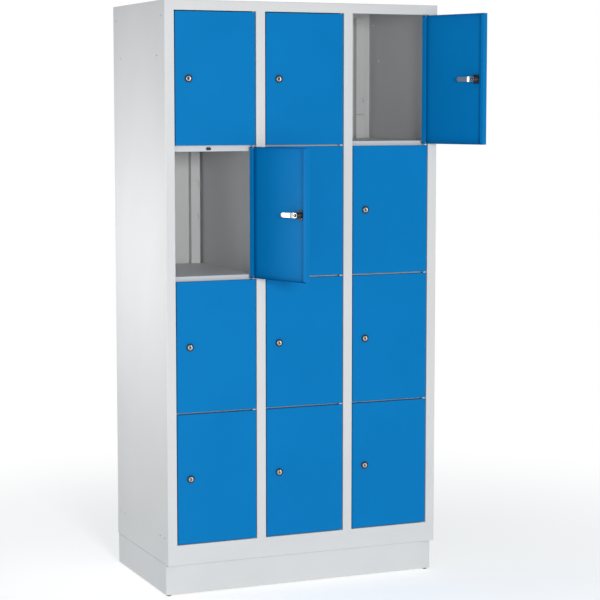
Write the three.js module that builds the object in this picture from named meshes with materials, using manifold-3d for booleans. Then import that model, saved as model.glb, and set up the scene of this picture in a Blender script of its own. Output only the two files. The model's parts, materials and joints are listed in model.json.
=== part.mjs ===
// A free-standing compartment locker in sheet steel: three columns of four lockable doors
// in a flush front frame, on a recessed plinth. Dimensions are in millimetres.
// The cabinet is drawn from its front left corner on the floor: X to the right, Y to the back, Z up.

import * as THREE from 'three';
import { mergeVertices } from 'three/addons/utils/BufferGeometryUtils.js';
import Module from 'manifold-3d';

// Overall size and division
const WIDTH = 900;
const DEPTH = 500;
const HEIGHT = 1800;
const COLUMNS = 3;
const ROWS = 4;

// Front frame
const STILE = 30;
const TOP_RAIL = 30;
const BOTTOM_RAIL = 62;
const FRAME_RETURN = 22;
const RAIL_RETURN = 20;
const RAIL_UPTURN = 10;
const SIDE_FOOTING = 25;
const FLOOR_FOOTING = 40;

// Sheet thicknesses, and the gap kept between neighbouring pieces
const SHELL_SHEET = 1;
const INNER_SHEET = 0.8;
const BACK_EDGE = 2;
const DOOR_SHEET = 1;
const FIT = 0.3;

// Rear posts, hooks folded from the side panels and the partitions, open towards their wall
const POST_WIDTH = 30;
const SIDE_POST_GAP = 28.5;
const PARTITION_POST_GAP = 9;
const POST_DEPTH = 24;
const POST_TOP = 1779;

// Plinth and feet
const PLINTH_HEIGHT = 100;
const PLINTH_RECESS = 25;
const PLINTH_REAR = 498;
const PLINTH_INSET = 1.5;
const PLINTH_SHEET = 1.5;
const PLINTH_FLANGE = 20;
const FOOT_HEIGHT = 4;
const FOOT_RADIUS = 7;
const FOOT_INSET = 12;
const STUD_RADIUS = 2.5;
const STUD_TOP = 16;

// Floor and shelves
const FLOOR_STEP = 12;
const SHELF_STEP = 12;
const SHELF_DROP = 16;
const SHELF_LIP = 12;
const SHELF_FRONT = 20;
const REAR_FLANGE = 15;

// Doors: a pan folded back at its edges, hung on two pins near its right edge
const DOOR_GAP = 2.5;
const DOOR_DEPTH = 16;
const DOOR_BEND = 2.5;
const HINGE_LIP = 16.5;
const FREE_LIP = 12.5;
const PIVOT_INSET = 8;
const PIVOT_DEPTH = 4.5;
const PIN_RADIUS = 2;
const PIN_REACH = 11;
const PIN_HOLE_RADIUS = 2.5;
const TONGUE_WIDTH = 12;
const TONGUE_THICKNESS = 2;
const TONGUE_SETBACK = 1;

// Cylinder lock and its cranked cam
const LOCK_INSET = 43.5;
const BEZEL_RADIUS = 11.5;
const BEZEL_HEIGHT = 5;
const BEZEL_CHAMFER = 1.5;
const BARREL_RADIUS = 9.3;
const BARREL_HOLE_RADIUS = 9.7;
const BARREL_END = 20;
const BORE_RADIUS = 8.2;
const PLUG_RADIUS = 7.8;
const PLUG_SETBACK = 0.5;
const LOCK_NUT = [20, 4, 28];
const KEYWAY = [1.4, 9, 7];
const CAM_SHEET = 2;
const CAM_HEIGHT = 16;
const CAM_REACH = 57;
const CAM_CLEARANCE = 0.4;
const CAM_CRANK_START = 11;
const CAM_CRANK = 5.5;
const CAM_NUT_RADIUS = 5;
const CAM_NUT_HEIGHT = 3;
const LOCK_SIDES = 12;

// Joining holes through the side panels, as distances from the front and heights
const JOINING_HOLE_RADIUS = 2.5;
const JOINING_HOLES = [
  [32, 1755],
  [DEPTH - 32, 1755],
  [74, 1637],
  [DEPTH - 74, 1637],
  [32, 181],
  [74, 181],
  [DEPTH - 74, 181],
  [DEPTH - 32, 181],
];

// Doors that stand open at rest, as an angle in degrees; the others are shut
const OPEN_DOORS = { r1c3: 110.3, r2c1: 109 };

// Places worked out from the dimensions above
const OPENING_WIDTH = (WIDTH - (COLUMNS + 1) * STILE) / COLUMNS;
const PITCH = OPENING_WIDTH + STILE;
const OPENING_BOTTOM = PLINTH_HEIGHT + BOTTOM_RAIL;
const OPENING_TOP = HEIGHT - TOP_RAIL;
const CELL_HEIGHT = (OPENING_TOP - OPENING_BOTTOM) / ROWS;
const DOOR_HEIGHT = CELL_HEIGHT - 2 * DOOR_GAP;
const FLOOR_TOP = OPENING_BOTTOM + FLOOR_STEP;
const BACK_FRONT = DEPTH - INNER_SHEET;
const POST_REAR = BACK_FRONT - FIT;
const POST_FRONT = POST_REAR - POST_DEPTH;

// Materials
const carcassGrey = new THREE.MeshStandardMaterial({ color: 0xd6d7d9, roughness: 0.55, metalness: 0 });
const innerGrey = new THREE.MeshStandardMaterial({ color: 0xc9cbce, roughness: 0.6, metalness: 0 });
const doorBlue = new THREE.MeshStandardMaterial({ color: 0x0d74b8, roughness: 0.5, metalness: 0 });
const lockBlack = new THREE.MeshStandardMaterial({ color: 0x1d1f22, roughness: 0.4, metalness: 0.3 });
const lockNickel = new THREE.MeshStandardMaterial({ color: 0xc4c6c8, roughness: 0.3, metalness: 0.9 });
const footBlack = new THREE.MeshStandardMaterial({ color: 0x26272a, roughness: 0.7, metalness: 0 });

const wasm = await Module();
wasm.setup();

// A closed geometry as a solid that can be joined and cut
function solid(geometry) {
  geometry.deleteAttribute('normal');
  geometry.deleteAttribute('uv');
  const merged = mergeVertices(geometry);
  return new wasm.Manifold(new wasm.Mesh({
    numProp: 3,
    vertProperties: Float32Array.from(merged.attributes.position.array),
    triVerts: Uint32Array.from(merged.index.array),
  }));
}

// A box between two values on each axis
function block([x0, x1], [y0, y1], [z0, z1]) {
  const geometry = new THREE.BoxGeometry(x1 - x0, y1 - y0, z1 - z0);
  geometry.translate((x0 + x1) / 2, (y0 + y1) / 2, (z0 + z1) / 2);
  return solid(geometry);
}

// A round bar along one axis, between two values on it
function bar(axis, radius, [from, to], centre, sides = 8) {
  const geometry = new THREE.CylinderGeometry(radius, radius, to - from, sides);
  if (axis === 'x') geometry.rotateZ(Math.PI / 2);
  if (axis === 'z') geometry.rotateX(Math.PI / 2);
  const place = { x: 0, y: 0, z: 0, ...centre };
  place[axis] = (from + to) / 2;
  geometry.translate(place.x, place.y, place.z);
  return solid(geometry);
}

// The outline of a folded sheet: its outer face runs along the path, the sheet lies to its left
function foldedOutline(path, thickness) {
  const points = path.map(([u, v]) => new THREE.Vector2(u, v));
  const normals = points.slice(1).map((point, i) => {
    const along = point.clone().sub(points[i]).normalize();
    return new THREE.Vector2(-along.y, along.x);
  });
  const inner = points.map((point, i) => {
    const before = normals[Math.max(i - 1, 0)];
    const after = normals[Math.min(i, normals.length - 1)];
    const mitre = before.clone().add(after).multiplyScalar(thickness / (1 + before.dot(after)));
    return point.clone().add(mitre);
  });
  return new THREE.Shape([...points, ...inner.reverse()]);
}

// A flat shape drawn up into a straight body
function extruded(shape, depth) {
  return new THREE.ExtrudeGeometry(shape, { depth, bevelEnabled: false });
}

// A sheet folded in plan, standing between two heights
function uprightSheet(path, thickness, [z0, z1]) {
  const geometry = extruded(foldedOutline(path, thickness), z1 - z0);
  geometry.translate(0, 0, z0);
  return solid(geometry);
}

// A sheet folded in its side view (Y, Z), running across between two values of X
function crosswiseSheet(path, thickness, [x0, x1]) {
  const geometry = extruded(foldedOutline(path, thickness), x1 - x0);
  const turn = new THREE.Matrix4().makeBasis(
    new THREE.Vector3(0, 1, 0),
    new THREE.Vector3(0, 0, 1),
    new THREE.Vector3(1, 0, 0),
  );
  geometry.applyMatrix4(turn);
  geometry.translate(x0, 0, 0);
  return solid(geometry);
}

// A quarter bend about a centre, from one direction to another in degrees
function bend([u, v], radius, from, to) {
  const steps = 3;
  return Array.from({ length: steps + 1 }, (_, i) => {
    const angle = THREE.MathUtils.degToRad(from + ((to - from) * i) / steps);
    return [u + radius * Math.cos(angle), v + radius * Math.sin(angle)];
  });
}

// A named mesh of a finished solid
function piece(name, shape, material) {
  const { vertProperties, triVerts } = shape.getMesh();
  const geometry = new THREE.BufferGeometry();
  geometry.setAttribute('position', new THREE.BufferAttribute(vertProperties, 3));
  geometry.setIndex(new THREE.BufferAttribute(triVerts, 1));
  geometry.computeVertexNormals();
  const mesh = new THREE.Mesh(geometry, material.clone());
  mesh.name = name;
  return mesh;
}

// Where a column's opening, walls, rear post and door pivot lie; walls are given by their inner faces
function column(c) {
  const left = STILE + (c - 1) * PITCH;
  const right = left + OPENING_WIDTH;
  const postRight = c === COLUMNS ? WIDTH - SIDE_POST_GAP : right - PARTITION_POST_GAP;
  return {
    left,
    right,
    wallLeft: c === 1 ? SHELL_SHEET : left - STILE + INNER_SHEET,
    wallRight: c === COLUMNS ? WIDTH - SHELL_SHEET : right,
    post: [postRight - POST_WIDTH, postRight],
    pivot: right - PIVOT_INSET,
  };
}

// The height of the joint line under a row of compartments, counted from the top row
function jointHeight(row) {
  return OPENING_TOP - row * CELL_HEIGHT;
}

// The two pins that a joint line carries: one up into the door above, one down into the door below
function hingePin(c, [z0, z1]) {
  return bar('z', PIN_RADIUS, [z0, z1], { x: column(c).pivot, y: PIVOT_DEPTH });
}

// A side panel: outer wall, front stile and rear post are folded from one sheet
function sidePanel(name, mirrored) {
  const postEnd = SIDE_POST_GAP + POST_WIDTH;
  const leftPath = [
    [SIDE_POST_GAP, POST_FRONT],
    [postEnd, POST_FRONT],
    [postEnd, POST_REAR],
    [0, POST_REAR],
    [0, 0],
    [STILE, 0],
    [STILE, FRAME_RETURN],
  ];
  const side = (x) => (mirrored ? WIDTH - x : x);
  const span = (x0, x1) => (mirrored ? [side(x1), side(x0)] : [x0, x1]);
  const path = leftPath.map(([x, y]) => [side(x), y]);
  if (mirrored) path.reverse();

  const inside = span(SHELL_SHEET, postEnd + 1);
  const behindFront = [SHELL_SHEET, DEPTH];
  let shape = uprightSheet(path, SHELL_SHEET, [PLINTH_HEIGHT, HEIGHT])
    .subtract(block(inside, behindFront, [0, FLOOR_TOP + FIT]))
    .subtract(block(inside, behindFront, [HEIGHT - SHELL_SHEET - FIT, HEIGHT + 1]))
    .subtract(block(inside, [POST_FRONT - 1, DEPTH], [POST_TOP, HEIGHT + 1]));
  const footing = block(
    span(SHELL_SHEET / 2, SIDE_FOOTING),
    [FRAME_RETURN, POST_FRONT],
    [PLINTH_HEIGHT, PLINTH_HEIGHT + SHELL_SHEET],
  );
  shape = shape.add(footing);
  for (const [y, z] of JOINING_HOLES) {
    shape = shape.subtract(bar('x', JOINING_HOLE_RADIUS, span(-1, SHELL_SHEET + 1), { y, z }));
  }
  return piece(name, shape, carcassGrey);
}

// A partition: front mullion, wall and rear post are folded from one sheet
function partition(c) {
  const { right, post } = column(c);
  const wall = right;
  const shape = uprightSheet([
    [post[1], POST_FRONT + INNER_SHEET],
    [post[0] + INNER_SHEET, POST_FRONT + INNER_SHEET],
    [post[0] + INNER_SHEET, POST_REAR - INNER_SHEET],
    [wall, POST_REAR - INNER_SHEET],
    [wall, 0],
    [wall + STILE, 0],
    [wall + STILE, FRAME_RETURN],
  ], INNER_SHEET, [OPENING_BOTTOM + FIT, HEIGHT - SHELL_SHEET - FIT]);
  const across = [post[0] - 1, wall + STILE + 1];
  const aboveRail = [OPENING_TOP - FIT, HEIGHT];
  const trimmed = shape
    .subtract(block(across, [SHELF_FRONT - FIT, DEPTH], [0, FLOOR_TOP + FIT]))
    .subtract(block(across, [-1, RAIL_RETURN + FIT], aboveRail))
    .subtract(block([wall + INNER_SHEET, wall + STILE + 1], [-1, FRAME_RETURN + 1], aboveRail))
    .subtract(block([post[0] - 1, wall], [POST_FRONT - 1, DEPTH], [POST_TOP, HEIGHT]))
    .subtract(block(across, [POST_REAR - SHELL_SHEET - FIT, DEPTH], [POST_TOP, HEIGHT]));
  return piece(`partition_${c}`, trimmed, innerGrey);
}

// The back panel: one flat sheet over all the rear posts
function backPanel() {
  const shape = block(
    [BACK_EDGE, WIDTH - BACK_EDGE],
    [BACK_FRONT, DEPTH],
    [PLINTH_HEIGHT + BACK_EDGE, HEIGHT - BACK_EDGE],
  );
  return piece('back_panel', shape, innerGrey);
}

// The top panel: roof and front rail folded from one sheet, with the pins of the top doors
function topPanel() {
  const between = [STILE + FIT, WIDTH - STILE - FIT];
  let shape = crosswiseSheet([
    [POST_REAR, POST_TOP + 1],
    [POST_REAR, HEIGHT],
    [0, HEIGHT],
    [0, OPENING_TOP],
    [RAIL_RETURN, OPENING_TOP],
    [RAIL_RETURN, OPENING_TOP + RAIL_UPTURN],
  ], SHELL_SHEET, between);
  const roof = block(
    [SHELL_SHEET + FIT, WIDTH - SHELL_SHEET - FIT],
    [SHELL_SHEET + FIT, POST_REAR],
    [HEIGHT - SHELL_SHEET, HEIGHT],
  );
  shape = shape.add(roof);
  for (let c = 1; c <= COLUMNS; c += 1) {
    shape = shape.add(hingePin(c, [OPENING_TOP - PIN_REACH, OPENING_TOP + SHELL_SHEET / 2]));
  }
  return piece('top_panel', shape, carcassGrey);
}

// The floor panel: bottom rail, step and floor folded from one sheet, with the lowest pins
function floorPanel() {
  const between = [STILE + FIT, WIDTH - STILE - FIT];
  let shape = crosswiseSheet([
    [POST_REAR, FLOOR_TOP - REAR_FLANGE],
    [POST_REAR, FLOOR_TOP],
    [SHELF_FRONT, FLOOR_TOP],
    [SHELF_FRONT, OPENING_BOTTOM],
    [0, OPENING_BOTTOM],
    [0, PLINTH_HEIGHT],
    [FLOOR_FOOTING, PLINTH_HEIGHT],
  ], SHELL_SHEET, between);
  const floor = block(
    [SHELL_SHEET + FIT, WIDTH - SHELL_SHEET - FIT],
    [SHELF_FRONT, POST_REAR],
    [FLOOR_TOP - SHELL_SHEET, FLOOR_TOP],
  );
  shape = shape.add(floor);
  for (let c = 1; c <= COLUMNS; c += 1) {
    shape = shape.add(hingePin(c, [OPENING_BOTTOM - SHELL_SHEET / 2, OPENING_BOTTOM + PIN_REACH]));
  }
  return piece('floor_panel', shape, carcassGrey);
}

// A shelf, folded down on all sides, with the tongue and pins that hang the doors above and below;
// it ends in front of the rear posts
function shelf(row, c) {
  const { left, right, wallLeft, wallRight, pivot } = column(c);
  const joint = jointHeight(row);
  const top = joint + SHELF_STEP;
  const rear = POST_FRONT - FIT;
  const plate = [top - INNER_SHEET, top];
  const skirt = [top - REAR_FLANGE, top];
  const depth = [FRAME_RETURN + FIT, rear];
  const end = wallRight - FIT;
  let shape = crosswiseSheet([
    [rear, top - REAR_FLANGE],
    [rear, top],
    [SHELF_FRONT, top],
    [SHELF_FRONT, joint - SHELF_DROP],
    [SHELF_FRONT + SHELF_LIP, joint - SHELF_DROP],
  ], INNER_SHEET, [left + FIT, right - FIT]);
  shape = shape
    .add(block([wallLeft + FIT, end], depth, plate))
    .add(block([wallLeft + FIT, wallLeft + FIT + INNER_SHEET], depth, skirt))
    .add(block([end - INNER_SHEET, end], depth, skirt));

  const tongue = block(
    [pivot - TONGUE_WIDTH / 2, pivot + TONGUE_WIDTH / 2],
    [TONGUE_SETBACK, SHELF_FRONT + INNER_SHEET / 2],
    [joint - TONGUE_THICKNESS / 2, joint + TONGUE_THICKNESS / 2],
  );
  shape = shape.add(tongue).add(hingePin(c, [joint - PIN_REACH, joint + PIN_REACH]));
  return piece(`shelf_r${row}c${c}`, shape, innerGrey);
}

// The plinth: a frame with flanges folded inwards at the top and the bottom
function plinth() {
  const outerX = [PLINTH_INSET, WIDTH - PLINTH_INSET];
  const outerY = [PLINTH_RECESS, PLINTH_REAR];
  const outerZ = [FOOT_HEIGHT, PLINTH_HEIGHT - FIT];
  const shrink = ([from, to], by) => [from + by, to - by];
  const hollow = [PLINTH_SHEET, PLINTH_SHEET, PLINTH_SHEET];
  const ranges = [outerX, outerY, outerZ];
  let shape = block(...ranges)
    .subtract(block(...ranges.map((range, i) => shrink(range, hollow[i]))))
    .subtract(block(shrink(outerX, PLINTH_FLANGE), shrink(outerY, PLINTH_FLANGE), [0, HEIGHT]));
  for (const [x, y] of footPlaces()) {
    shape = shape.subtract(bar('z', STUD_RADIUS + FIT, [0, STUD_TOP], { x, y }));
  }
  return piece('plinth_frame', shape, carcassGrey);
}

// The middles of the four feet, just inside the plinth's corners
function footPlaces() {
  const xs = [PLINTH_INSET + FOOT_INSET, WIDTH - PLINTH_INSET - FOOT_INSET];
  const ys = [PLINTH_RECESS + FOOT_INSET, PLINTH_REAR - FOOT_INSET];
  return ys.flatMap((y) => xs.map((x) => [x, y]));
}

// A levelling foot: a low pad on a stud through the plinth's bottom flange
function foot([x, y], name) {
  const profile = [
    [0, 0],
    [FOOT_RADIUS - 1, 0],
    [FOOT_RADIUS, 1],
    [FOOT_RADIUS, FOOT_HEIGHT - FIT],
    [STUD_RADIUS, FOOT_HEIGHT - FIT],
    [STUD_RADIUS, STUD_TOP],
    [0, STUD_TOP],
  ];
  const geometry = new THREE.LatheGeometry(profile.map(([r, h]) => new THREE.Vector2(r, h)), 12);
  geometry.rotateX(Math.PI / 2);
  geometry.translate(x, y, 0);
  return piece(name, solid(geometry), footBlack);
}

// Doors and locks are drawn about the door's pivot, at the bottom of its cell
const HINGE_EDGE = PIVOT_INSET - DOOR_GAP;
const FREE_EDGE = PIVOT_INSET + DOOR_GAP - OPENING_WIDTH;
const DOOR_FRONT = -PIVOT_DEPTH;
const DOOR_BACK = DOOR_FRONT + DOOR_DEPTH;
const LOCK_X = FREE_EDGE - DOOR_GAP + LOCK_INSET;
const LOCK_Z = CELL_HEIGHT / 2;

// A door: a sheet pan with lips along both upright edges, closed by an end plate at top and bottom
function door(name) {
  const rim = [
    [FREE_EDGE, DOOR_BACK],
    ...bend([FREE_EDGE + DOOR_BEND, DOOR_FRONT + DOOR_BEND], DOOR_BEND, 180, 270),
    ...bend([HINGE_EDGE - DOOR_BEND, DOOR_FRONT + DOOR_BEND], DOOR_BEND, 270, 360),
    [HINGE_EDGE, DOOR_BACK],
  ];
  const lips = [[FREE_EDGE + FREE_LIP, DOOR_BACK], ...rim, [HINGE_EDGE - HINGE_LIP, DOOR_BACK]];
  let shape = uprightSheet(lips, DOOR_SHEET, [DOOR_GAP, DOOR_GAP + DOOR_HEIGHT]);
  for (const z of [DOOR_GAP, DOOR_GAP + DOOR_HEIGHT - DOOR_SHEET]) {
    const endPlate = extruded(new THREE.Shape(rim.map(([x, y]) => new THREE.Vector2(x, y))), DOOR_SHEET);
    endPlate.translate(0, 0, z);
    shape = shape
      .add(solid(endPlate))
      .subtract(bar('z', PIN_HOLE_RADIUS, [z - 1, z + DOOR_SHEET + 1], {}));
  }
  const lockHole = bar('y', BARREL_HOLE_RADIUS, [DOOR_FRONT - 1, DOOR_FRONT + DOOR_SHEET + 1], {
    x: LOCK_X,
    z: LOCK_Z,
  }, LOCK_SIDES);
  return piece(name, shape.subtract(lockHole), doorBlue);
}

// The fixed part of a lock: bezel, barrel and the fixing nut behind the door sheet
function lockBody(name) {
  const profile = [
    [0, -BEZEL_HEIGHT],
    [BEZEL_RADIUS - BEZEL_CHAMFER, -BEZEL_HEIGHT],
    [BEZEL_RADIUS, BEZEL_CHAMFER - BEZEL_HEIGHT],
    [BEZEL_RADIUS, -FIT],
    [BARREL_RADIUS, -FIT],
    [BARREL_RADIUS, BARREL_END],
    [0, BARREL_END],
  ];
  const outside = profile.map(([r, y]) => new THREE.Vector2(r, y));
  const [width, depth, height] = LOCK_NUT;
  const nut = block(
    [-width / 2, width / 2],
    [DOOR_SHEET + FIT, DOOR_SHEET + FIT + depth],
    [-height / 2, height / 2],
  );
  const bore = bar('y', BORE_RADIUS, [-BEZEL_HEIGHT - 1, BARREL_END + 1], {}, LOCK_SIDES);
  const shape = solid(new THREE.LatheGeometry(outside, LOCK_SIDES)).add(nut).subtract(bore);
  return piece(name, shape, lockBlack);
}

// The turning part of a lock: keyed plug, cranked cam and the nut that holds the cam
function lockCam(name) {
  const camFront = BARREL_END + CAM_CLEARANCE;
  const [slotWidth, slotDepth, slotHeight] = KEYWAY;
  const face = PLUG_SETBACK - BEZEL_HEIGHT;
  const plug = bar('y', PLUG_RADIUS, [face, camFront + CAM_SHEET / 2], {}, LOCK_SIDES);
  const keyway = block(
    [-slotWidth / 2, slotWidth / 2],
    [face - 1, face + slotDepth],
    [-slotHeight / 2, slotHeight / 2],
  );
  const cam = uprightSheet([
    [-CAM_HEIGHT / 2, camFront],
    [CAM_CRANK_START, camFront],
    [CAM_CRANK_START + CAM_CRANK, camFront + CAM_CRANK],
    [CAM_REACH, camFront + CAM_CRANK],
  ], CAM_SHEET, [-CAM_HEIGHT / 2, CAM_HEIGHT / 2]);
  const nutEnd = camFront + CAM_SHEET + CAM_NUT_HEIGHT;
  const nut = bar('y', CAM_NUT_RADIUS, [camFront + CAM_SHEET / 2, nutEnd], {}, 6);
  return piece(name, plug.subtract(keyway).add(cam).add(nut), lockNickel);
}

// A door with its lock, hung on its pins and turned to where it stands at rest
function hungDoor(row, c) {
  const place = `r${row}c${c}`;
  const leaf = new THREE.Group();
  leaf.position.set(column(c).pivot, PIVOT_DEPTH, jointHeight(row));
  leaf.rotation.z = THREE.MathUtils.degToRad(OPEN_DOORS[place] ?? 0);
  const lock = new THREE.Group();
  lock.position.set(LOCK_X, DOOR_FRONT, LOCK_Z);
  lock.add(lockBody(`lock_body_${place}`), lockCam(`lock_cam_${place}`));
  leaf.add(door(`door_${place}`), lock);
  return leaf;
}

const locker = new THREE.Group();
locker.add(sidePanel('left_side_panel', false), sidePanel('right_side_panel', true));
locker.add(backPanel(), topPanel(), floorPanel(), plinth());
for (let c = 1; c < COLUMNS; c += 1) {
  locker.add(partition(c));
}
const FOOT_NAMES = ['foot_front_left', 'foot_front_right', 'foot_rear_left', 'foot_rear_right'];
footPlaces().forEach((place, i) => locker.add(foot(place, FOOT_NAMES[i])));
for (let row = 1; row <= ROWS; row += 1) {
  for (let c = 1; c <= COLUMNS; c += 1) {
    if (row < ROWS) locker.add(shelf(row, c));
    locker.add(hungDoor(row, c));
  }
}

// The origin is on the floor, in the middle of all that the locker covers with its doors at rest
const reach = new THREE.Box3().setFromObject(locker, true);
const middle = reach.getCenter(new THREE.Vector3());
locker.position.set(-middle.x, -middle.y, -reach.min.z);

export default locker;
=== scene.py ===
import json
import math

import bmesh
import bpy
from mathutils import Matrix, Vector


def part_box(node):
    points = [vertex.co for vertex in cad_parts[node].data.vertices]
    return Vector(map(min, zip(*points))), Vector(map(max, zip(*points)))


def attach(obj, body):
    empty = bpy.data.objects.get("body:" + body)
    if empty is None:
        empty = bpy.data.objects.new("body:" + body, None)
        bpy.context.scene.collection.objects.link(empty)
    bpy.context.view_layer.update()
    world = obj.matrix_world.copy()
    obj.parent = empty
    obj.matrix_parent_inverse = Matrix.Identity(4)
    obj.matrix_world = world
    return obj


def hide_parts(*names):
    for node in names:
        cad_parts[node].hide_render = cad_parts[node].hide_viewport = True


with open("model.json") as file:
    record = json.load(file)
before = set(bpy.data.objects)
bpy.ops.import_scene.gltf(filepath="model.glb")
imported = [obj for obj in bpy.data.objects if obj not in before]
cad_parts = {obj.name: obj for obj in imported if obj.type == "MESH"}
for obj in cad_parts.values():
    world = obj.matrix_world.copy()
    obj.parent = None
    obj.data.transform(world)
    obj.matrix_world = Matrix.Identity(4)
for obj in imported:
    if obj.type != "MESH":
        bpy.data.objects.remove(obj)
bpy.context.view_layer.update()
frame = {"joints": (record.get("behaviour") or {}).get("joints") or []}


# ---------------------------------------------------------------------------------- Side panels
# Each side of the cabinet is one sheet of 1 mm steel, folded at the front into a stile and at
# the back into a hooked post. Lugs are lanced out of the post, and holes near the front and back
# edges take the bolts that join a row of cabinets. All of it is powder-coated light grey.

MM = 0.001
ORIGIN = Vector((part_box("left_side_panel")[0].x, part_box("left_side_panel")[0].y, 0))
CABINET = Matrix.Translation(ORIGIN) @ Matrix.Scale(MM, 4)
WELD_GAP = 0.01


def extent(node):
    """A CAD node's two far corners, in millimetres from the cabinet's front left corner."""
    low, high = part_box(node)
    return (low - ORIGIN) / MM, (high - ORIGIN) / MM


SIDE_LOW, SIDE_HIGH = extent("left_side_panel")
WIDTH = extent("right_side_panel")[1].x
HEIGHT = SIDE_HIGH.z
SHELL_FOOT = SIDE_LOW.z
REAR = SIDE_HIGH.y
DEPTH = extent("back_panel")[1].y
STILE = 30
RETURN = 22
SHEET = 1.0
FOLD = 2.0
FOLD_STEPS = 4
FIT = 0.3
FOOTING = 25
DRILL_LENGTH = 6

COLUMNS = (1, 2, 3)
ROWS = (1, 2, 3, 4)
DOOR_GAP = 2.5
LEFT = {c: extent(f"door_r4c{c}")[0].x - DOOR_GAP for c in COLUMNS}
RIGHT = {c: extent(f"door_r4c{c}")[1].x + DOOR_GAP for c in COLUMNS}
OPENING_TOP = extent("door_r1c2")[1].z + DOOR_GAP
OPENING_FOOT = extent("door_r4c2")[0].z - DOOR_GAP
CELL = (OPENING_TOP - OPENING_FOOT) / len(ROWS)
FLOOR_RISE = 12
FLOOR_TOP = OPENING_FOOT + FLOOR_RISE

POST_DEPTH = 24
POST_FRONT = REAR - POST_DEPTH
POST_TOP = 1779
POST_WIDTH = 30
SIDE_POST_GAP = 28.5
LUGS = (1506, 1238, 1131, 836, 729, 434, 327)
LUG_HALF = 7
LUG_RISE = 4.5
LUG_ROOT = 27
LUG_TIP = 8.5
LUG_TAPER = 1
SLOT_END = 2.5
SLIT = (1458.2, 1459.8)
POST_LEVELS = sorted([z + half for z in LUGS for half in (-LUG_HALF, LUG_HALF)] + [*SLIT, POST_TOP])


def folded(path, levels, along="z", has=lambda u, v, w: True):
    """The outer face of a folded sheet, which lies on the right of its path: the path is drawn in
    plan (along z), in side view (along x) or in front view (along y), between two or more levels."""
    order = {"x": (2, 0, 1), "y": (0, 2, 1), "z": (0, 1, 2)}[along]
    shell = bmesh.new()
    for (u0, v0), (u1, v1) in zip(path, path[1:]):
        for w0, w1 in zip(levels, levels[1:]):
            if has((u0 + u1) / 2, (v0 + v1) / 2, (w0 + w1) / 2):
                corners = [(u0, v0, w0), (u1, v1, w0), (u1, v1, w1), (u0, v0, w1)]
                if along == "y":
                    corners.reverse()
                shell.faces.new([shell.verts.new([corner[i] for i in order]) for corner in corners])
    bmesh.ops.remove_doubles(shell, verts=shell.verts, dist=WELD_GAP)
    return shell


def add(into, part, place=None):
    """Puts one part's faces into another part."""
    if place is not None:
        part.transform(place)
    mesh = bpy.data.meshes.new("part")
    part.to_mesh(mesh)
    part.free()
    into.from_mesh(mesh)
    bpy.data.meshes.remove(mesh)
    return into


def shown(name, part, finish, place=CABINET):
    """A mesh object with one finish, from a part in millimetres."""
    part.transform(place)
    mesh = bpy.data.meshes.new(name)
    part.to_mesh(mesh)
    part.free()
    mesh.shade_smooth()
    mesh.materials.append(finish)
    made = bpy.data.objects.new(name, mesh)
    bpy.context.scene.collection.objects.link(made)
    return made


def fixed(made, body, slot, *nodes):
    """Fixes a piece to a body of the frame, where it stands for some CAD nodes."""
    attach(made, body)
    if nodes:
        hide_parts(*nodes)
    return made


def ease(made, width, limit, steps=1):
    """Rounds the edges of a piece that turn by more than a limit."""
    edge = made.modifiers.new("edges", "BEVEL")
    edge.width = width * MM
    edge.segments = steps
    edge.limit_method = "ANGLE"
    edge.angle_limit = math.radians(limit)
    edge.use_clamp_overlap = False
    return edge


def sheet_metal(made, thickness, fold=FOLD):
    """Rounds the folds of a sheet and gives it its thickness, inwards from its outer face."""
    ease(made, fold, 50, FOLD_STEPS)
    wall = made.modifiers.new("sheet", "SOLIDIFY")
    wall.thickness = thickness * MM
    wall.offset = -1
    wall.use_even_offset = True
    return made


def flat_shaded(made):
    """Keeps the large faces flat and lets only the folds look round."""
    shade = made.modifiers.new("flats", "WEIGHTED_NORMAL")
    shade.keep_sharp = True
    return made


def applied(made):
    """Makes the shape that a piece's modifiers give it its own mesh."""
    graph = bpy.context.evaluated_depsgraph_get()
    shape = bpy.data.meshes.new_from_object(made.evaluated_get(graph))
    spent = made.data
    made.modifiers.clear()
    made.data = shape
    bpy.data.meshes.remove(spent)
    return made


def bored(made, drill, place=CABINET):
    """Cuts a drill's shape out of a piece."""
    tool = shown("drill", drill, made.data.materials[0], place)
    cut = made.modifiers.new("holes", "BOOLEAN")
    cut.operation = "DIFFERENCE"
    cut.solver = "EXACT"
    cut.object = tool
    applied(made)
    bpy.data.objects.remove(tool)
    return made


def rods(points, radius, length, axis):
    """Round bars about some points, for boring holes."""
    turn = {"x": Matrix.Rotation(math.pi / 2, 4, "Y"), "y": Matrix.Rotation(math.pi / 2, 4, "X")}
    part = bmesh.new()
    for point in points:
        bmesh.ops.create_cone(
            part, cap_ends=True, segments=24, radius1=radius, radius2=radius, depth=length,
            matrix=Matrix.Translation(point) @ turn.get(axis, Matrix()),
        )
    return part


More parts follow.
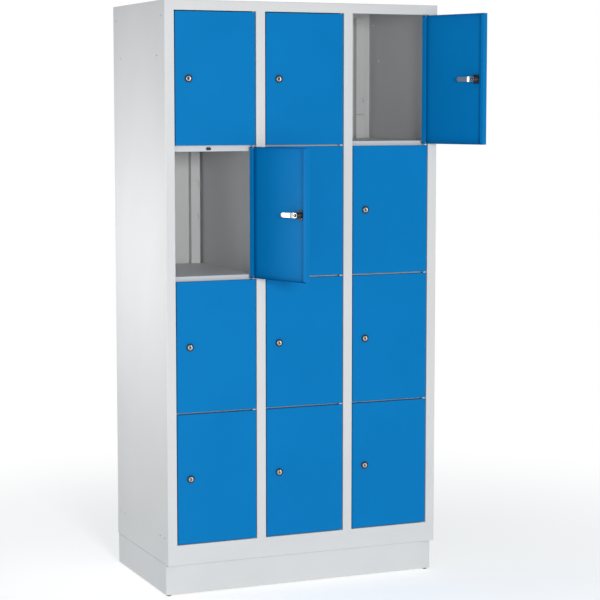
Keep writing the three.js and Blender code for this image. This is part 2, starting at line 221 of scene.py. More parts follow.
def powder_coat(name, pale, deep, gloss):
    """Sprayed and baked powder: the tone drifts slowly over a fine orange peel with a satin sheen."""
    finish = bpy.data.materials.new(name)
    finish.use_nodes = True
    nodes, join = finish.node_tree.nodes, finish.node_tree.links.new
    shader = nodes["Principled BSDF"]
    shader.inputs["Specular IOR Level"].default_value = gloss
    where = nodes.new("ShaderNodeTexCoord").outputs["Object"]

    drift = nodes.new("ShaderNodeTexNoise")
    drift.inputs["Scale"].default_value = 4
    drift.inputs["Detail"].default_value = 3
    tone = nodes.new("ShaderNodeValToRGB")
    tone.color_ramp.elements[0].position = 0.3
    tone.color_ramp.elements[0].color = (*deep, 1)
    tone.color_ramp.elements[1].position = 0.7
    tone.color_ramp.elements[1].color = (*pale, 1)
    join(where, drift.inputs["Vector"])
    join(drift.outputs["Fac"], tone.inputs["Fac"])
    join(tone.outputs["Color"], shader.inputs["Base Color"])

    flow = nodes.new("ShaderNodeTexNoise")
    flow.inputs["Scale"].default_value = 160
    flow.inputs["Detail"].default_value = 2
    satin = nodes.new("ShaderNodeMapRange")
    satin.inputs["To Min"].default_value = 0.4
    satin.inputs["To Max"].default_value = 0.52
    join(where, flow.inputs["Vector"])
    join(flow.outputs["Fac"], satin.inputs["Value"])
    join(satin.outputs["Result"], shader.inputs["Roughness"])

    peel = nodes.new("ShaderNodeTexNoise")
    peel.inputs["Scale"].default_value = 750
    peel.inputs["Detail"].default_value = 2
    dimple = nodes.new("ShaderNodeBump")
    dimple.inputs["Strength"].default_value = 0.12
    dimple.inputs["Distance"].default_value = 0.0001
    join(where, peel.inputs["Vector"])
    join(peel.outputs["Fac"], dimple.inputs["Height"])
    join(dimple.outputs["Normal"], shader.inputs["Normal"])
    return finish


def post_face(gap, sign=1, wall=0):
    """Where a post's columns lie, counted from the wall that it is folded from."""
    return [wall + sign * (gap + step) for step in (0, SLOT_END, LUG_ROOT, POST_WIDTH)]


def in_lug_slot(x, y, z, columns, front):
    """Whether a stretch of a post's front face is taken out for a lug or for the slit."""
    inner, outer = sorted(columns[1:3])
    if SLIT[0] < z < SLIT[1]:
        return min(columns) <= x <= max(columns)
    at_a_lug = any(abs(z - lug) < LUG_HALF for lug in LUGS)
    return abs(y - front) < WELD_GAP and inner < x < outer and at_a_lug


def add_lugs(part, root, tip, y, reach, forward):
    """Lugs that stay joined to a post at the root and stand out of it at the tip."""
    for lug in LUGS:
        low, high = lug - LUG_HALF, lug + LUG_HALF
        corners = [(root, y, low), (tip, y - reach, low + LUG_TAPER)]
        corners += [(tip, y - reach, high - LUG_TAPER), (root, y, high)]
        if (tip > root) != forward:
            corners.reverse()
        part.faces.new([part.verts.new(corner) for corner in corners])
    bmesh.ops.remove_doubles(part, verts=part.verts, dist=WELD_GAP)


def side_has(x, y, z):
    """Where the left side panel's folded sheet isn't cut away."""
    if x > STILE - 1 and 0 < y < RETURN:
        return OPENING_FOOT < z < OPENING_TOP
    if x > 0 and y >= POST_FRONT:
        top = HEIGHT if y == REAR and x < STILE else POST_TOP
        return FLOOR_TOP < z < top and not in_lug_slot(x, y, z, post_face(SIDE_POST_GAP), POST_FRONT)
    return True


JOINING_HEIGHTS = {32: (181, 1755), 74: (181, 1637)}
JOINING_HOLES = [
    (y, z) for inset, heights in JOINING_HEIGHTS.items() for y in (inset, DEPTH - inset) for z in heights
]
JOINING_RADIUS = 2.5

shell_grey = powder_coat("light_grey_powder_coat", (0.64, 0.645, 0.65), (0.61, 0.615, 0.62), 0.35)

side_path = [(x, POST_FRONT) for x in post_face(SIDE_POST_GAP)]
side_path += [(side_path[-1][0], REAR), (STILE, REAR), (0, REAR), (0, POST_FRONT), (0, RETURN), (0, 0)]
side_path += [(STILE, 0), (STILE, RETURN)]
side_levels = sorted([SHELL_FOOT, OPENING_FOOT, FLOOR_TOP + FIT, OPENING_TOP, HEIGHT, *POST_LEVELS])

for name in ("left_side_panel", "right_side_panel"):
    panel = folded(side_path, side_levels, "z", side_has)
    add_lugs(panel, SIDE_POST_GAP + LUG_ROOT, SIDE_POST_GAP + LUG_TIP, POST_FRONT, LUG_RISE, True)
    footing = [(0, RETURN), (FOOTING, RETURN), (FOOTING, POST_FRONT), (0, POST_FRONT)]
    panel.faces.new([panel.verts.new((x, y, SHELL_FOOT)) for x, y in reversed(footing)])
    bmesh.ops.remove_doubles(panel, verts=panel.verts, dist=WELD_GAP)
    outer_face = 0
    if name == "right_side_panel":
        panel.transform(Matrix.Translation((WIDTH, 0, 0)) @ Matrix.Scale(-1, 4, (1, 0, 0)))
        bmesh.ops.reverse_faces(panel, faces=panel.faces)
        outer_face = WIDTH
    side_panel = sheet_metal(shown(f"{name}_sheet", panel, shell_grey), SHEET)
    drilled = [(outer_face, y, z) for y, z in JOINING_HOLES]
    bored(side_panel, rods(drilled, JOINING_RADIUS, DRILL_LENGTH, "x"))
    fixed(flat_shaded(side_panel), "carcass", "carcass_grey", name)


# ---------------------------------------------------------------------------------- Partitions
# The partitions between the columns are 0.8 mm sheet. The front edge is folded into the mullion
# that the doors close against, and the rear edge into a hooked post like those of the sides.

INNER_SHEET = 0.8
PARTITION_POST_GAP = 9
STEP = 20

for c in COLUMNS[:-1]:
    wall = RIGHT[c]
    columns = post_face(PARTITION_POST_GAP, -1, wall)
    post_left = columns[-1] + INNER_SHEET
    face = POST_FRONT + INNER_SHEET
    rear = REAR - INNER_SHEET
    partition_path = [(x, face) for x in (*columns[:-1], post_left)]
    partition_path += [(post_left, rear), (wall, rear), (wall, STEP), (wall, 0)]
    partition_path += [(wall + STILE, 0), (wall + STILE, STEP), (wall + STILE, RETURN)]

    def partition_has(x, y, z):
        """Where this partition's folded sheet isn't cut away."""
        if z > OPENING_TOP:
            return y > STEP and abs(x - wall) < 1
        if x < wall and y >= face:
            return FLOOR_TOP < z < POST_TOP and not in_lug_slot(x, y, z, columns, face)
        return y <= STEP or z > FLOOR_TOP

    levels = sorted([OPENING_FOOT, FLOOR_TOP + FIT, OPENING_TOP, HEIGHT - SHEET - FIT, *POST_LEVELS])
    part = folded(partition_path, levels, "z", partition_has)
    root = wall - PARTITION_POST_GAP - LUG_ROOT
    add_lugs(part, root, wall - PARTITION_POST_GAP - LUG_TIP, face, LUG_RISE, False)
    partition = sheet_metal(shown(f"partition_sheet_{c}", part, shell_grey), INNER_SHEET)
    fixed(flat_shaded(partition), "carcass", "inner_grey", f"partition_{c}")


# ---------------------------------------------------------------------------------- Back panel
# A flat sheet of 0.8 mm steel, powder-coated light grey, closes the back. It lies against the
# folded rear edges of the sides and partitions, to which it is welded.

back_low, back_high = extent("back_panel")
back = folded([(back_high.x, DEPTH), (back_low.x, DEPTH)], [back_low.z, back_high.z])
back_panel = shown("back_sheet", back, shell_grey)
sheet_metal(back_panel, INNER_SHEET)
ease(back_panel, 0.2, 60)
fixed(flat_shaded(back_panel), "carcass", "inner_grey", "back_panel")


# ---------------------------------------------------------------------------------- Top panel
# The roof and the front rail are folded from one sheet: the rail turns back under itself along
# each opening, and the roof turns down behind the posts.

RAIL_RETURN = 20
RAIL_LIP = 10
ROOF_TURN = 20
EDGES = sorted([*LEFT.values(), *RIGHT.values()])


def over_an_opening(x):
    """Whether a place across the cabinet belongs to a column's opening and not to a stile."""
    return any(LEFT[c] < x < RIGHT[c] for c in COLUMNS)


top_path = [(REAR, HEIGHT - ROOF_TURN), (REAR, HEIGHT), (0, HEIGHT), (0, OPENING_TOP)]
top_path += [(RAIL_RETURN, OPENING_TOP), (RAIL_RETURN, OPENING_TOP + RAIL_LIP)]
roof = folded(
    top_path, EDGES, "x",
    lambda y, z, x: y < 1 or (z > OPENING_TOP + RAIL_LIP / 2 and y > RAIL_RETURN) or over_an_opening(x),
)
for ends in ((SHEET, STILE), (WIDTH - STILE, WIDTH - SHEET)):
    add(roof, folded([(REAR, HEIGHT), (SHEET, HEIGHT)], ends, "x"))
top_panel = sheet_metal(shown("roof_and_top_rail", roof, shell_grey), SHEET)
fixed(flat_shaded(top_panel), "carcass", "carcass_grey", "top_panel")


# ---------------------------------------------------------------------------------- Floor panel
# The bottom rail, the step behind the lowest doors and the cabinet floor are one folded sheet.

FLOOR_FOOTING = 40
FLOOR_TURN = 15

floor_path = [(REAR, FLOOR_TOP - FLOOR_TURN), (REAR, FLOOR_TOP), (STEP, FLOOR_TOP), (STEP, OPENING_FOOT)]
floor_path += [(0, OPENING_FOOT), (0, SHELL_FOOT), (FLOOR_FOOTING, SHELL_FOOT)]
deck = folded(
    floor_path, EDGES, "x",
    lambda y, z, x: over_an_opening(x) or not (0 < y < STEP and z == OPENING_FOOT),
)
for ends in ((SHEET, STILE), (WIDTH - STILE, WIDTH - SHEET)):
    add(deck, folded([(REAR, FLOOR_TOP), (RETURN, FLOOR_TOP)], ends, "x"))
floor_panel = sheet_metal(shown("floor_and_bottom_rail", deck, shell_grey), SHEET)
fixed(flat_shaded(floor_panel), "carcass", "carcass_grey", "floor_panel")


# ---------------------------------------------------------------------------------- Shelves
# Nine shelves of 0.8 mm sheet part the compartments. Each is folded down at the back and at the
# front, where a flange stands behind the joint of two doors, and ends in front of the posts.

SHELF_RISE = 12
SHELF_DROP = 16
SHELF_LIP = 12
REAR_FLANGE = 15
SHELF_REAR = POST_FRONT - FIT


def joint_height(row):
    """The height of the joint line under a row of doors."""
    return OPENING_TOP - row * CELL


LOWEST_JOINT = joint_height(len(ROWS) - 1)


for row in ROWS[:-1]:
    for c in COLUMNS:
        low, high = extent(f"shelf_r{row}c{c}")
        left, right = LEFT[c] + FIT, RIGHT[c] - FIT
        joint = joint_height(row)
        top = joint + SHELF_RISE
        profile = [(SHELF_REAR, top - REAR_FLANGE), (SHELF_REAR, top), (STEP, top)]
        profile += [(STEP, joint - SHELF_DROP), (STEP + SHELF_LIP, joint - SHELF_DROP)]

        board = folded(profile, (left, right), "x")
        behind = (RETURN + FIT, SHELF_REAR)
        wing = [(low.x, top - REAR_FLANGE), (low.x, top), (left, top)]
        add(board, folded(wing, behind, "y"))
        if c == COLUMNS[-1]:
            wing = [(right, top), (high.x, top), (high.x, top - REAR_FLANGE)]
            add(board, folded(wing, behind, "y"))
        shelf = sheet_metal(shown(f"shelf_board_r{row}c{c}", board, shell_grey), INNER_SHEET)
        ease(shelf, 0.2, 60)
        fixed(flat_shaded(shelf), "carcass", "inner_grey", f"shelf_r{row}c{c}")


# ---------------------------------------------------------------------------------- Hinges
# Every door turns on two steel pins, 4 mm thick, one at its top and one at its bottom. Between
# two doors they stand on a welded tongue; the end pins are set in the rails.

PIN_RADIUS = 2
PIN_REACH = 11
PIVOT_IN = 8
PIVOT_BACK = 4.5
PIN_CHAMFER = 0.6
TONGUE_WIDTH = 12
TONGUE_DEPTH = 19.4
TONGUE_SHEET = 2
TONGUE_SETBACK = 1
COLUMN_PITCH = RIGHT[2] - RIGHT[1]


def turned(profile, sides=32):
    """A body turned about its own upright axis from a profile of radii and heights."""
    wire = bmesh.new()
    points = [wire.verts.new((radius, 0, height)) for radius, height in profile]
    for start, end in zip(points, points[1:]):
        wire.edges.new((start, end))
    mesh = bpy.data.meshes.new("profile")
    wire.to_mesh(mesh)
    wire.free()
    blank = bpy.data.objects.new("profile", mesh)
    bpy.context.scene.collection.objects.link(blank)
    lathe = blank.modifiers.new("lathe", "SCREW")
    lathe.steps = lathe.render_steps = sides
    lathe.use_merge_vertices = True
    lathe.merge_threshold = WELD_GAP
    applied(blank)
    part = bmesh.new()
    part.from_mesh(blank.data)
    bpy.data.objects.remove(blank)
    bmesh.ops.remove_doubles(part, verts=part.verts, dist=WELD_GAP)
    bmesh.ops.recalc_face_normals(part, faces=part.faces)
    return part


def repeated(made, count, step):
    """Sets a piece out in a row."""
    row = made.modifiers.new("row", "ARRAY")
    row.use_relative_offset = False
    row.use_constant_offset = True
    row.constant_offset_displace = Vector(step) * MM
    row.count = count
    return made


def metal(name, colour, rough, grain):
    """Bare or plated metal with fine marks from finishing."""
    finish = bpy.data.materials.new(name)
    finish.use_nodes = True
    nodes, join = finish.node_tree.nodes, finish.node_tree.links.new
    shader = nodes["Principled BSDF"]
    shader.inputs["Metallic"].default_value = 1
    where = nodes.new("ShaderNodeTexCoord").outputs["Object"]
    marks = nodes.new("ShaderNodeTexNoise")
    marks.inputs["Scale"].default_value = grain
    marks.inputs["Detail"].default_value = 4
    wear = nodes.new("ShaderNodeMapRange")
    wear.inputs["To Min"].default_value = rough * 0.8
    wear.inputs["To Max"].default_value = rough * 1.3
    tone = nodes.new("ShaderNodeValToRGB")
    tone.color_ramp.elements[0].color = (*[channel * 0.85 for channel in colour], 1)
    tone.color_ramp.elements[1].color = (*colour, 1)
    relief = nodes.new("ShaderNodeBump")
    relief.inputs["Strength"].default_value = 0.1
    relief.inputs["Distance"].default_value = 0.0001
    join(where, marks.inputs["Vector"])
    join(marks.outputs["Fac"], wear.inputs["Value"])
    join(wear.outputs["Result"], shader.inputs["Roughness"])
    join(marks.outputs["Fac"], tone.inputs["Fac"])
    join(tone.outputs["Color"], shader.inputs["Base Color"])
    join(marks.outputs["Fac"], relief.inputs["Height"])
    join(relief.outputs["Normal"], shader.inputs["Normal"])
    return finish


nickel = metal("nickel_plate", (0.56, 0.55, 0.53), 0.36, 900)
pin_place = Matrix.Translation((RIGHT[1] - PIVOT_IN, PIVOT_BACK, OPENING_FOOT))
pin = turned([
    (0, PIN_REACH), (PIN_RADIUS - PIN_CHAMFER, PIN_REACH), (PIN_RADIUS, PIN_REACH - PIN_CHAMFER),
    (PIN_RADIUS, PIN_CHAMFER - PIN_REACH), (PIN_RADIUS - PIN_CHAMFER, -PIN_REACH), (0, -PIN_REACH),
], 16)
pin.transform(pin_place)
hinge_pins = shown("hinge_pins", pin, nickel)
repeated(hinge_pins, len(ROWS) + 1, (0, 0, CELL))
repeated(hinge_pins, len(COLUMNS), (COLUMN_PITCH, 0, 0))
fixed(flat_shaded(hinge_pins), "carcass", "lock_nickel")

tongue = bmesh.new()
tongue_size = Matrix.Diagonal((TONGUE_WIDTH, TONGUE_DEPTH, TONGUE_SHEET, 1))
bmesh.ops.create_cube(tongue, size=1, matrix=tongue_size)
tongue_middle = TONGUE_SETBACK + TONGUE_DEPTH / 2
tongue.transform(Matrix.Translation((RIGHT[1] - PIVOT_IN, tongue_middle, LOWEST_JOINT)))
hinge_tongues = shown("hinge_tongues", tongue, shell_grey)
ease(hinge_tongues, 0.5, 60, 2)
repeated(hinge_tongues, len(ROWS) - 1, (0, 0, CELL))
repeated(hinge_tongues, len(COLUMNS), (COLUMN_PITCH, 0, 0))
fixed(flat_shaded(hinge_tongues), "carcass", "inner_grey")


# ---------------------------------------------------------------------------------- Door stops
# A small black rubber pad on each shelf's front flange quiets the door below it.

STOP_LENGTH = 16
STOP_HEIGHT = 9
STOP_THICKNESS = 3.3
STOP_SINK = 0.1
STOP_STEPS = 8
STOP_OFFSET = -17
STOP_DROP = 8


def moulded(name, colour, rough, grain, depth):
    """Moulded rubber or plastic, dull, with a fine pitted skin."""
    finish = bpy.data.materials.new(name)
    finish.use_nodes = True
    nodes, join = finish.node_tree.nodes, finish.node_tree.links.new
    shader = nodes["Principled BSDF"]
    where = nodes.new("ShaderNodeTexCoord").outputs["Object"]
    skin = nodes.new("ShaderNodeTexNoise")
    skin.inputs["Scale"].default_value = grain
    skin.inputs["Detail"].default_value = 3
    tone = nodes.new("ShaderNodeValToRGB")
    tone.color_ramp.elements[0].color = (*[channel * 0.7 for channel in colour], 1)
    tone.color_ramp.elements[1].color = (*[channel * 1.2 for channel in colour], 1)
    dull = nodes.new("ShaderNodeMapRange")
    dull.inputs["To Min"].default_value = rough - 0.08
    dull.inputs["To Max"].default_value = rough + 0.08
    relief = nodes.new("ShaderNodeBump")
    relief.inputs["Strength"].default_value = 0.3
    relief.inputs["Distance"].default_value = depth
    join(where, skin.inputs["Vector"])
    join(skin.outputs["Fac"], tone.inputs["Fac"])
    join(tone.outputs["Color"], shader.inputs["Base Color"])
    join(skin.outputs["Fac"], dull.inputs["Value"])
    join(dull.outputs["Result"], shader.inputs["Roughness"])
    join(skin.outputs["Fac"], relief.inputs["Height"])
    join(relief.outputs["Normal"], shader.inputs["Normal"])
    return finish


rubber = moulded("black_rubber", (0.03, 0.03, 0.032), 0.7, 1200, 0.0001)
end_radius = STOP_HEIGHT / 2
pad_path = []
for side, start in ((1, -90), (-1, 90)):
    end_middle = side * (STOP_LENGTH / 2 - end_radius)
    for i in range(STOP_STEPS + 1):
        angle = math.radians(start + i * 180 / STOP_STEPS)
        pad_path.append((end_middle + end_radius * math.cos(angle), end_radius * math.sin(angle)))
pad_front, pad_rear = STEP - STOP_THICKNESS, STEP + STOP_SINK
pad = folded([*pad_path[::-1], pad_path[-1]], (pad_front, pad_rear), "y")
pad.faces.new([pad.verts.new((x, pad_front, z)) for x, z in pad_path])
pad.faces.new([pad.verts.new((x, pad_rear, z)) for x, z in pad_path[::-1]])
bmesh.ops.remove_doubles(pad, verts=pad.verts, dist=WELD_GAP)
bmesh.ops.recalc_face_normals(pad, faces=pad.faces)
middle = (LEFT[1] + RIGHT[1]) / 2 + STOP_OFFSET
pad.transform(Matrix.Translation((middle, 0, LOWEST_JOINT - STOP_DROP)))
door_stops = shown("door_stops", pad, rubber)
ease(door_stops, 0.8, 60, 3)
repeated(door_stops, len(ROWS) - 1, (0, 0, CELL))
repeated(door_stops, len(COLUMNS), (COLUMN_PITCH, 0, 0))
fixed(flat_shaded(door_stops), "carcass", "foot_plastic")


# ---------------------------------------------------------------------------------- Plinth
# The plinth is a frame of 1.5 mm steel with flanges folded inwards at top and bottom. It is set
# back at the front, and stands on four low feet whose studs go through its bottom flange.

PLINTH_SHEET = 1.5
PLINTH_FLANGE = 20
PLINTH_FOLD = 2.5
STUD_RADIUS = 2.5
FOOT_CHAMFER = 0.5
FOOT_ROUND = 1

plinth_low, plinth_high = extent("plinth_frame")


def ring(inset, z):
    """The plinth's four corners, set in from its outside."""
    x0, x1 = plinth_low.x + inset, plinth_high.x - inset
    y0, y1 = plinth_low.y + inset, plinth_high.y - inset
    return [(x0, y0, z), (x1, y0, z), (x1, y1, z), (x0, y1, z)]


rings = [ring(PLINTH_FLANGE, plinth_low.z), ring(0, plinth_low.z)]
rings += [ring(0, plinth_high.z), ring(PLINTH_FLANGE, plinth_high.z)]
frame_part = bmesh.new()
for lower, upper in zip(rings, rings[1:]):
    for i in range(4):
        j = (i + 1) % 4
        corners = (lower[i], lower[j], upper[j], upper[i])
        frame_part.faces.new([frame_part.verts.new(corner) for corner in corners])
bmesh.ops.remove_doubles(frame_part, verts=frame_part.verts, dist=WELD_GAP)
plinth = sheet_metal(shown("plinth_ring", frame_part, shell_grey), PLINTH_SHEET, PLINTH_FOLD)
fixed(flat_shaded(plinth), "carcass", "carcass_grey", "plinth_frame")

foot_low, foot_high = extent("foot_front_left")
foot_middle = (foot_low + foot_high) / 2
rear_foot = extent("foot_rear_right")[1]
foot_radius = (foot_high.x - foot_low.x) / 2
foot_plastic = moulded("black_plastic", (0.028, 0.028, 0.03), 0.55, 700, 0.00008)
foot_top = plinth_low.z - FIT
foot = turned([
    (0, foot_high.z), (STUD_RADIUS - FOOT_CHAMFER, foot_high.z),
    (STUD_RADIUS, foot_high.z - FOOT_CHAMFER), (STUD_RADIUS, foot_top),
    (foot_radius - FOOT_CHAMFER, foot_top), (foot_radius, foot_top - FOOT_CHAMFER),
    (foot_radius, FOOT_ROUND), (foot_radius - FOOT_ROUND, 0), (0, 0),
])
foot.transform(Matrix.Translation((foot_middle.x, foot_middle.y, 0)))
feet = shown("levelling_feet", foot, foot_plastic)
repeated(feet, 2, (rear_foot.x - foot_high.x, 0, 0))
repeated(feet, 2, (0, rear_foot.y - foot_high.y, 0))
foot_nodes = [f"foot_{end}_{side}" for end in ("front", "rear") for side in ("left", "right")]
fixed(flat_shaded(feet), "carcass", "foot_plastic", *foot_nodes)


# ---------------------------------------------------------------------------------- Doors
# Twelve pans of 1 mm steel, powder-coated blue. Both upright edges are folded back, inwards as
# lips and forwards as short hems, and end walls at top and bottom take the hinge pins.

HINGE_EDGE = PIVOT_IN - DOOR_GAP
FREE_EDGE = HINGE_EDGE + 2 * DOOR_GAP - (RIGHT[1] - LEFT[1])
FRONT_FACE = -PIVOT_BACK
BACK_FACE = 11.5
HALF_HEIGHT = CELL / 2 - DOOR_GAP
LIP_SHORT = 3
FREE_LIP = 12.5
HINGE_LIP = 16.5
HEM = 3
CORNER_FOLD = 2.5
END_FOLD = 1.2
LOCK_HOLE = 9.7
PIN_HOLE = 2.5

door_blue = powder_coat("blue_powder_coat", (0.0005, 0.18, 0.475), (0.0004, 0.168, 0.45), 0.06)
JOINTS = {joint["name"]: joint for joint in frame["joints"]}
LOCK_X = (JOINTS["lock_turn_r4c1"]["pos_m"][0] - JOINTS["door_hinge_r4c1"]["pos_m"][0]) / MM

pan_path = [(FREE_EDGE + FREE_LIP, BACK_FACE - HEM), (FREE_EDGE + FREE_LIP, BACK_FACE)]
end_wall = [(FREE_EDGE, BACK_FACE), (FREE_EDGE, FRONT_FACE)]
end_wall += [(HINGE_EDGE, FRONT_FACE), (HINGE_EDGE, BACK_FACE)]
pan_path += end_wall
pan_path += [(HINGE_EDGE - HINGE_LIP, BACK_FACE), (HINGE_EDGE - HINGE_LIP, BACK_FACE - HEM)]
lip_end = HALF_HEIGHT - LIP_SHORT
pan = folded(
    pan_path, (-HALF_HEIGHT, -lip_end, lip_end, HALF_HEIGHT), "z",
    lambda x, y, z: abs(z) < lip_end or y == FRONT_FACE or x in (FREE_EDGE, HINGE_EDGE),
)
for z in (-HALF_HEIGHT, HALF_HEIGHT):
    corners = end_wall if z > 0 else end_wall[::-1]
    pan.faces.new([pan.verts.new((x, y, z)) for x, y in corners])
bmesh.ops.remove_doubles(pan, verts=pan.verts, dist=WELD_GAP)
tightness = pan.edges.layers.float.new("bevel_weight_edge")
for edge in pan.edges:
    if len(edge.link_faces) == 2 and edge.calc_face_angle() > 1:
        along = edge.verts[0].co - edge.verts[1].co
        hemmed = FREE_EDGE < edge.verts[0].co.x < HINGE_EDGE
        edge[tightness] = END_FOLD / CORNER_FOLD if hemmed or abs(along.z) < 1 else 1

master_door = shown("master_door", pan, door_blue, Matrix.Scale(MM, 4))
sheet_metal(master_door, SHEET, CORNER_FOLD)
master_door.modifiers["edges"].limit_method = "WEIGHT"
holes = rods([(LOCK_X, FRONT_FACE, 0)], LOCK_HOLE, DRILL_LENGTH, "y")
add(holes, rods([(0, 0, -HALF_HEIGHT), (0, 0, HALF_HEIGHT)], PIN_HOLE, DRILL_LENGTH, "z"))
bored(master_door, holes, Matrix.Scale(MM, 4))


def hung(joint):
    """Where a door's own axes lie in the frame, at the angle at which it stands at rest."""
    rest = -joint["range_deg"][0]
    return Matrix.Translation(joint["pos_m"]) @ Matrix.Rotation(math.radians(rest), 4, "Z")


def copied(master, name, place, body, slot, *nodes):
    """A copy of a finished master at its place."""
    mesh = master.data.copy()
    mesh.name = name
    mesh.transform(place)
    made = bpy.data.objects.new(name, mesh)
    bpy.context.scene.collection.objects.link(made)
    return fixed(flat_shaded(made), body, slot, *nodes)


PLACES = [f"r{row}c{c}" for row in ROWS for c in COLUMNS]
for spot in PLACES:
    hinge = JOINTS[f"door_hinge_{spot}"]
    copied(master_door, f"door_pan_{spot}", hung(hinge), f"door_{spot}", "door_blue", f"door_{spot}")
bpy.data.objects.remove(master_door)


# ---------------------------------------------------------------------------------- Locks
# Every door has a cam lock: a black cast housing with a round bezel and a threaded barrel, held by
# a spring clip behind the door, and a nickel-plated core that turns a cranked cam.

BEZEL = 11.5
BEZEL_HEIGHT = 5
BARREL = 9.3
BARREL_END = 20
BORE = 8.2
CORE = 7.8
CORE_SETBACK = 0.6
THREAD_START = 5.5
THREAD_RUNOUT = 0.5
THREAD_PITCH = 1.5
THREAD_DEPTH = 0.7
CLIP_WIDTH = 20
CLIP_DEPTH = 4
CLIP_HEIGHT = 28
CLIP_SHEET = 1.2
KEYWAY_WIDTH = 1.6
KEYWAY_DEPTH = 8
KEYWAY_HEIGHT = 7.4
CAM_SHEET = 2
CAM_HALF = 8
CAM_REACH = 57
CAM_CRANK = (11, 16.5)
CAM_OFFSET = 5.5
CAM_FRONT = BARREL_END + 0.4
INWARDS = Matrix.Rotation(-math.pi / 2, 4, "X")

lock_black = moulded("black_lock_coat", (0.018, 0.018, 0.02), 0.38, 500, 0.00005)

housing_profile = [
    (BORE, -BEZEL_HEIGHT + 0.9), (BORE + 0.5, -BEZEL_HEIGHT + 0.2), (BORE + 1.1, -BEZEL_HEIGHT),
    (BEZEL - 1.6, -BEZEL_HEIGHT), (BEZEL - 0.5, -BEZEL_HEIGHT + 0.5), (BEZEL, -BEZEL_HEIGHT + 1.6),
    (BEZEL, -0.4), (BEZEL - 0.4, -0.02), (BARREL, -0.02), (BARREL, THREAD_START),
]
turns = int((BARREL_END - THREAD_START - THREAD_RUNOUT) / THREAD_PITCH)
thread_root = BARREL - THREAD_DEPTH
for turn in range(turns):
    start = THREAD_START + turn * THREAD_PITCH
    housing_profile += [(thread_root, start + 0.4), (thread_root, start + 0.7)]
    housing_profile += [(BARREL, start + 1.1), (BARREL, start + THREAD_PITCH)]
housing_profile += [(BARREL - 0.5, BARREL_END), (BORE, BARREL_END), housing_profile[0]]
housing = turned(housing_profile, 40)
housing.transform(INWARDS)
near, far = SHEET + FIT, SHEET + FIT + CLIP_DEPTH
clip_half = CLIP_HEIGHT / 2
clip_path = [(far, clip_half), (near, clip_half), (near, -clip_half), (far, -clip_half)]
clip = folded(clip_path, (-CLIP_WIDTH / 2, CLIP_WIDTH / 2), "x")
master_clip = shown("master_clip", clip, lock_black, Matrix.Scale(MM, 4))
sheet_metal(master_clip, CLIP_SHEET, 0.8)
applied(master_clip)
finished_clip = bmesh.new()
finished_clip.from_mesh(master_clip.data)
bpy.data.objects.remove(master_clip)
add(housing, finished_clip, Matrix.Scale(1 / MM, 4))
master_housing = shown("master_housing", housing, lock_black, Matrix.Scale(MM, 4))
ease(master_housing, 0.25, 60, 2)
applied(master_housing)

core_face = CORE_SETBACK - BEZEL_HEIGHT
core_end = CAM_FRONT + 0.2
core = turned([
    (0, core_face), (CORE - 0.7, core_face), (CORE, core_face + 0.7), (CORE, core_end), (0, core_end),
], 40)
core.transform(INWARDS)
master_core = shown("master_core", core, nickel, Matrix.Scale(MM, 4))
keyway = bmesh.new()
keyway_size = Matrix.Diagonal((KEYWAY_WIDTH, 2 * KEYWAY_DEPTH, KEYWAY_HEIGHT, 1))
bmesh.ops.create_cube(keyway, size=1, matrix=keyway_size)
keyway.transform(Matrix.Translation((0, core_face, 0)))
bored(master_core, keyway, Matrix.Scale(MM, 4))

quarter = [math.radians(degrees) for degrees in range(0, 91, 15)]
stations = [(-CAM_HALF * math.cos(angle), CAM_HALF * math.sin(angle)) for angle in quarter]
stations += [(CAM_CRANK[0], CAM_HALF), (CAM_CRANK[1], CAM_HALF - 0.5)]
tip = CAM_REACH - CAM_HALF + 0.5
tip_half = CAM_HALF - 0.5
stations += [(tip + tip_half * math.sin(angle), tip_half * math.cos(angle)) for angle in quarter]
cam = bmesh.new()
for (x0, h0), (x1, h1) in zip(stations, stations[1:]):
    y0, y1 = (CAM_FRONT + (CAM_OFFSET if x > CAM_CRANK[0] + 1 else 0) for x in (x0, x1))
    corners = ((x0, y0, -h0), (x1, y1, -h1), (x1, y1, h1), (x0, y0, h0))
    cam.faces.new([cam.verts.new(corner) for corner in corners])
bmesh.ops.remove_doubles(cam, verts=cam.verts, dist=WELD_GAP)
bmesh.ops.dissolve_degenerate(cam, edges=cam.edges, dist=WELD_GAP)
master_cam = shown("master_cam", cam, nickel, Matrix.Scale(MM, 4))
ease(master_cam, 2, 30, 3)
cam_wall = master_cam.modifiers.new("sheet", "SOLIDIFY")
cam_wall.thickness = CAM_SHEET * MM
cam_wall.offset = -1
ease(master_cam, 0.3, 60, 2)
applied(master_cam)

nut_face = CAM_FRONT + CAM_SHEET + 3
nut_seat = CAM_FRONT + CAM_SHEET + 0.05
nut = turned([
    (2.6, nut_face), (4.4, nut_face), (5, nut_face - 0.5), (5, nut_seat), (2.6, nut_seat), (2.6, nut_face),
], 6)
nut.transform(INWARDS)
master_nut = shown("master_nut", nut, lock_black, Matrix.Scale(MM, 4))
ease(master_nut, 0.2, 60)
applied(master_nut)

stud = turned([
    (0, nut_face), (1.9, nut_face), (2.5, nut_face - 0.5), (2.5, CAM_FRONT), (0, CAM_FRONT),
], 20)
stud.transform(INWARDS)
master_stud = shown("master_stud", stud, nickel, Matrix.Scale(MM, 4))
turning = bmesh.new()
for made in (master_core, master_cam, master_stud):
    turning.from_mesh(made.data)
    bpy.data.objects.remove(made)
master_turning = shown("master_turning", turning, nickel, Matrix())

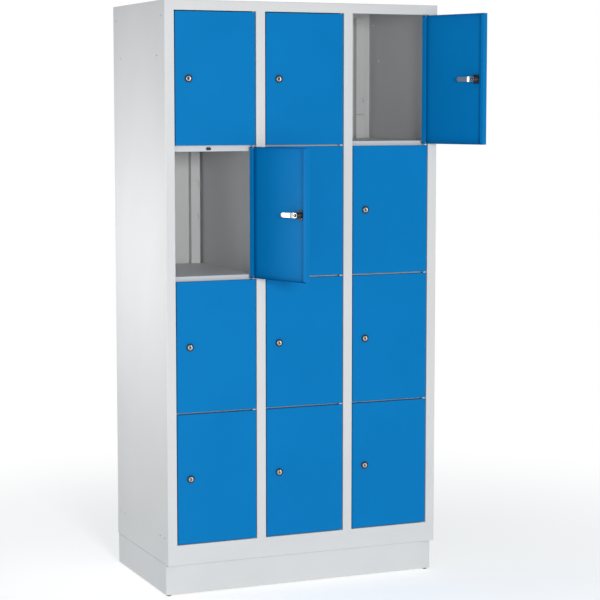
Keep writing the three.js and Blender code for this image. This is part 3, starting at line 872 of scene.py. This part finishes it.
for spot in PLACES:
    hinge, lock = JOINTS[f"door_hinge_{spot}"], JOINTS[f"lock_turn_{spot}"]
    place = hung({**hinge, "pos_m": lock["pos_m"]})
    copied(master_housing, f"lock_housing_{spot}", place, f"door_{spot}", "lock_black", f"lock_body_{spot}")
    copied(master_turning, f"lock_core_{spot}", place, f"cam_{spot}", "lock_nickel", f"lock_cam_{spot}")
    copied(master_nut, f"cam_nut_{spot}", place, f"cam_{spot}", "lock_black")
for made in (master_housing, master_turning, master_nut):
    bpy.data.objects.remove(made)


# ---------------------------------------------------------------------------------- Studio
# A pale floor that fades into a white surround, a strong light in front, a weak one on the left,
# and a small one close to the left side, which is brightest half-way up. A long lens stands on
# the left at head height.

FLOOR_RADIUS = 14
FADE = (0.6, 2.4)
PAPER_GLOW = 0.38
SURROUND = 0.42
LAMP_COLOUR = (1, 0.99, 0.97)

floor = bmesh.new()
bmesh.ops.create_circle(floor, cap_ends=True, segments=96, radius=FLOOR_RADIUS / MM)
paper = bpy.data.materials.new("pale_floor")
paper.use_nodes = True
nodes, join = paper.node_tree.nodes, paper.node_tree.links.new
matt = nodes["Principled BSDF"]
matt.inputs["Base Color"].default_value = (0.93, 0.93, 0.93, 1)
matt.inputs["Roughness"].default_value = 0.9
matt.inputs["Specular IOR Level"].default_value = 0.1
matt.inputs["Emission Color"].default_value = (1, 1, 1, 1)
matt.inputs["Emission Strength"].default_value = PAPER_GLOW
glow = nodes.new("ShaderNodeEmission")
reach = nodes.new("ShaderNodeVectorMath")
reach.operation = "LENGTH"
fade = nodes.new("ShaderNodeMapRange")
fade.interpolation_type = "SMOOTHSTEP"
fade.inputs["From Min"].default_value = FADE[0]
fade.inputs["From Max"].default_value = FADE[1]
blend = nodes.new("ShaderNodeMixShader")
join(nodes.new("ShaderNodeTexCoord").outputs["Object"], reach.inputs[0])
join(reach.outputs["Value"], fade.inputs["Value"])
join(fade.outputs["Result"], blend.inputs["Fac"])
join(matt.outputs["BSDF"], blend.inputs[1])
join(glow.outputs["Emission"], blend.inputs[2])
join(blend.outputs["Shader"], nodes["Material Output"].inputs["Surface"])
shown("floor", floor, paper, Matrix.Scale(MM, 4))

world = bpy.data.worlds.new("white_surround")
world.use_nodes = True
bpy.context.scene.world = world
nodes, join = world.node_tree.nodes, world.node_tree.links.new
surround = nodes["Background"]
surround.inputs["Color"].default_value = (0.94, 1, 1.05, 1)
surround.inputs["Strength"].default_value = SURROUND
backdrop = nodes.new("ShaderNodeBackground")
backdrop.inputs["Color"].default_value = (1, 1, 1, 1)
choice = nodes.new("ShaderNodeMixShader")
join(nodes.new("ShaderNodeLightPath").outputs["Is Camera Ray"], choice.inputs["Fac"])
join(surround.outputs["Background"], choice.inputs[1])
join(backdrop.outputs["Background"], choice.inputs[2])
join(choice.outputs["Shader"], nodes["World Output"].inputs["Surface"])


def softbox(name, place, target, size, power):
    """An area light turned towards a point; both places are in millimetres from the cabinet's corner."""
    lamp = bpy.data.lights.new(name, "AREA")
    lamp.shape = "RECTANGLE"
    lamp.size, lamp.size_y = size
    lamp.energy = power
    lamp.color = LAMP_COLOUR
    rig = bpy.data.objects.new(name, lamp)
    rig.location = CABINET @ Vector(place)
    rig.rotation_mode = "QUATERNION"
    rig.rotation_quaternion = (Vector(target) - Vector(place)).to_track_quat("-Z", "Y")
    rig.visible_camera = False
    bpy.context.scene.collection.objects.link(rig)


softbox("side_light", (-700, 270, 1080), (0, 270, 1080), (0.3, 0.4), 3.6)
softbox("left_light", (-2300, -2600, 1500), (450, 0, 1000), (1.5, 1.5), 4)
softbox("key_light", (-500, -5000, 1650), (450, 0, 1100), (0.9, 0.9), 122)

YAW = math.radians(23.08)
PITCH = math.radians(5.88)
CAMERA_PLACE = (-1826, -5302, 1488)
FOCAL_LENGTH = 113.07
SENSOR_WIDTH = 36

lens = bpy.data.cameras.new("camera")
lens.sensor_width = SENSOR_WIDTH
lens.lens = FOCAL_LENGTH
camera = bpy.data.objects.new("camera", lens)
camera.location = CABINET @ Vector(CAMERA_PLACE)
sight = Vector((math.sin(YAW) * math.cos(PITCH), math.cos(YAW) * math.cos(PITCH), -math.sin(PITCH)))
camera.rotation_mode = "QUATERNION"
camera.rotation_quaternion = sight.to_track_quat("-Z", "Y")
bpy.context.scene.collection.objects.link(camera)
bpy.context.scene.camera = camera
bpy.context.scene.view_settings.view_transform = "Standard"
